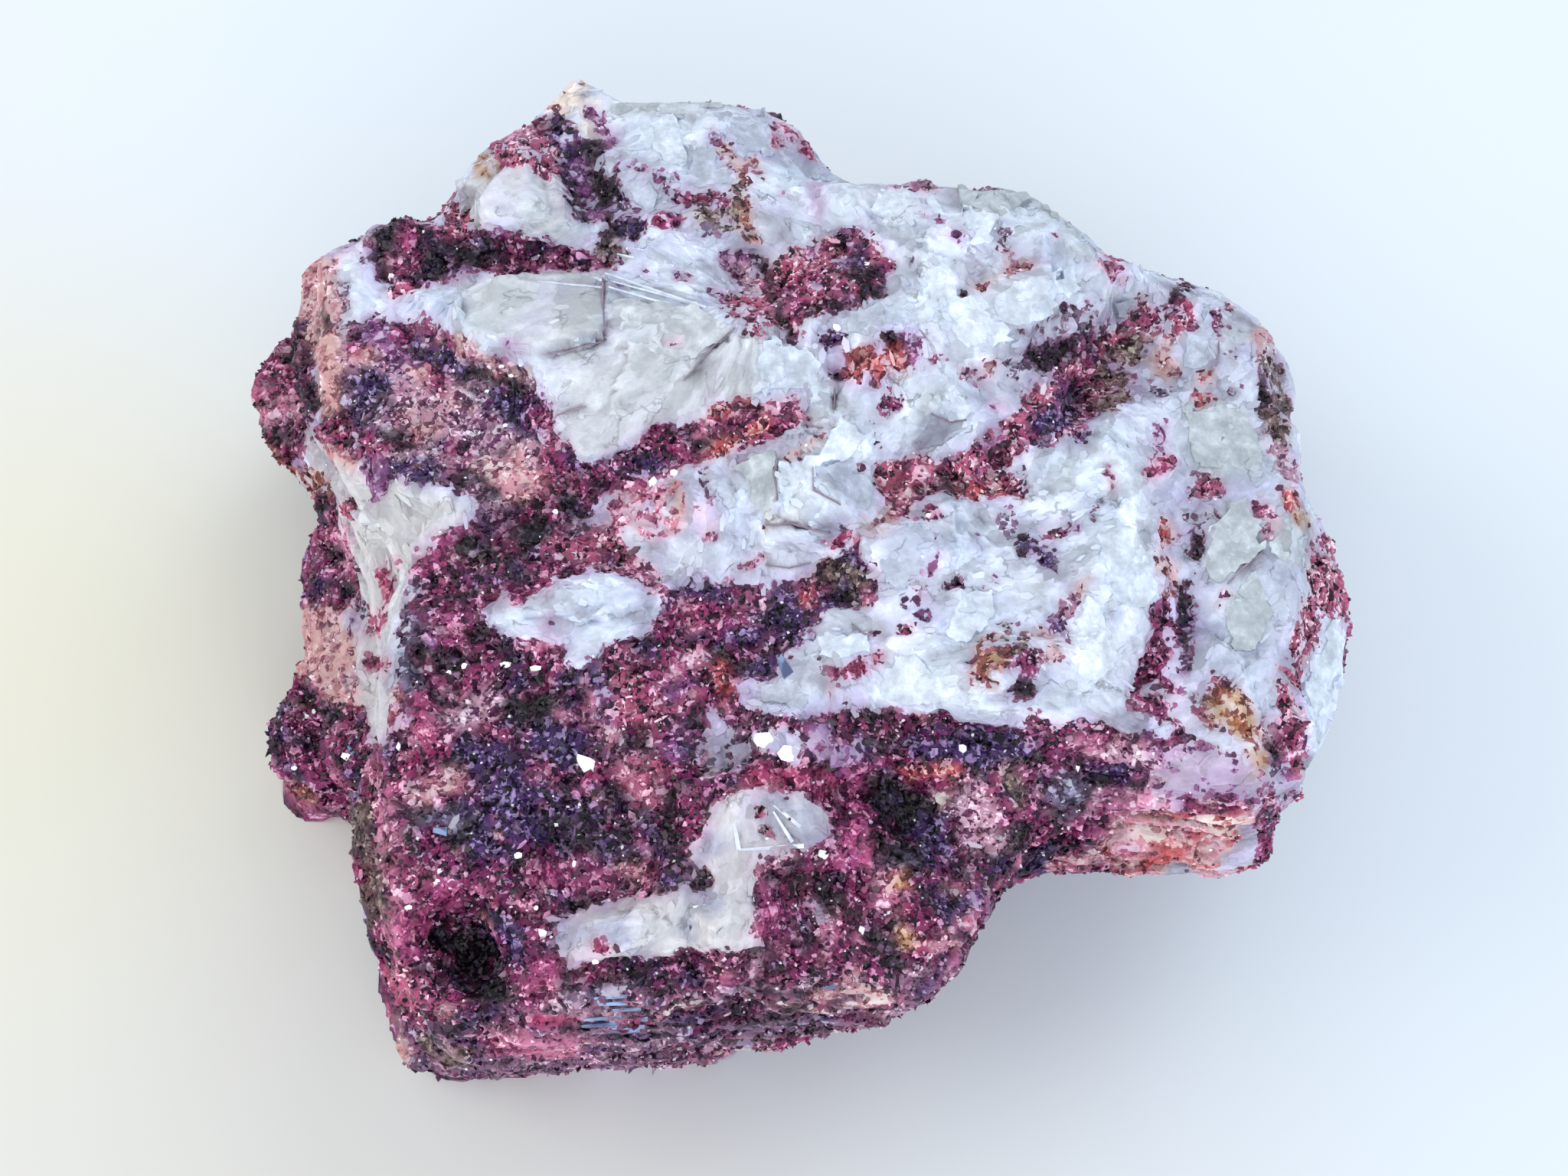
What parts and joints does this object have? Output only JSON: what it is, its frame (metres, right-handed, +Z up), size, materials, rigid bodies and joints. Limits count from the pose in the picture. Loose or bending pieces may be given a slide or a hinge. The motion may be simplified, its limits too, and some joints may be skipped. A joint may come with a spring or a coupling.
{
  "type": "raw lepidolite specimen",
  "caption": "Rough hand specimen of raw lepidolite: magenta mica veined with pale bladed feldspar, with a flat underside to rest on.",
  "frame": {"origin": "middle of the stone's box, on the flat face that it rests on", "axes": "+X along the stone's length, towards the overhanging wing; +Y from its front to its back; +Z up"},
  "size_m": [0.083, 0.0746, 0.0384],
  "materials": {
    "lepidolite": "rough broken stone with glinting flakes"
  },
  "bodies": {
    "root": {"lepidolite": "lepidolite"}
  },
  "joints": []
}
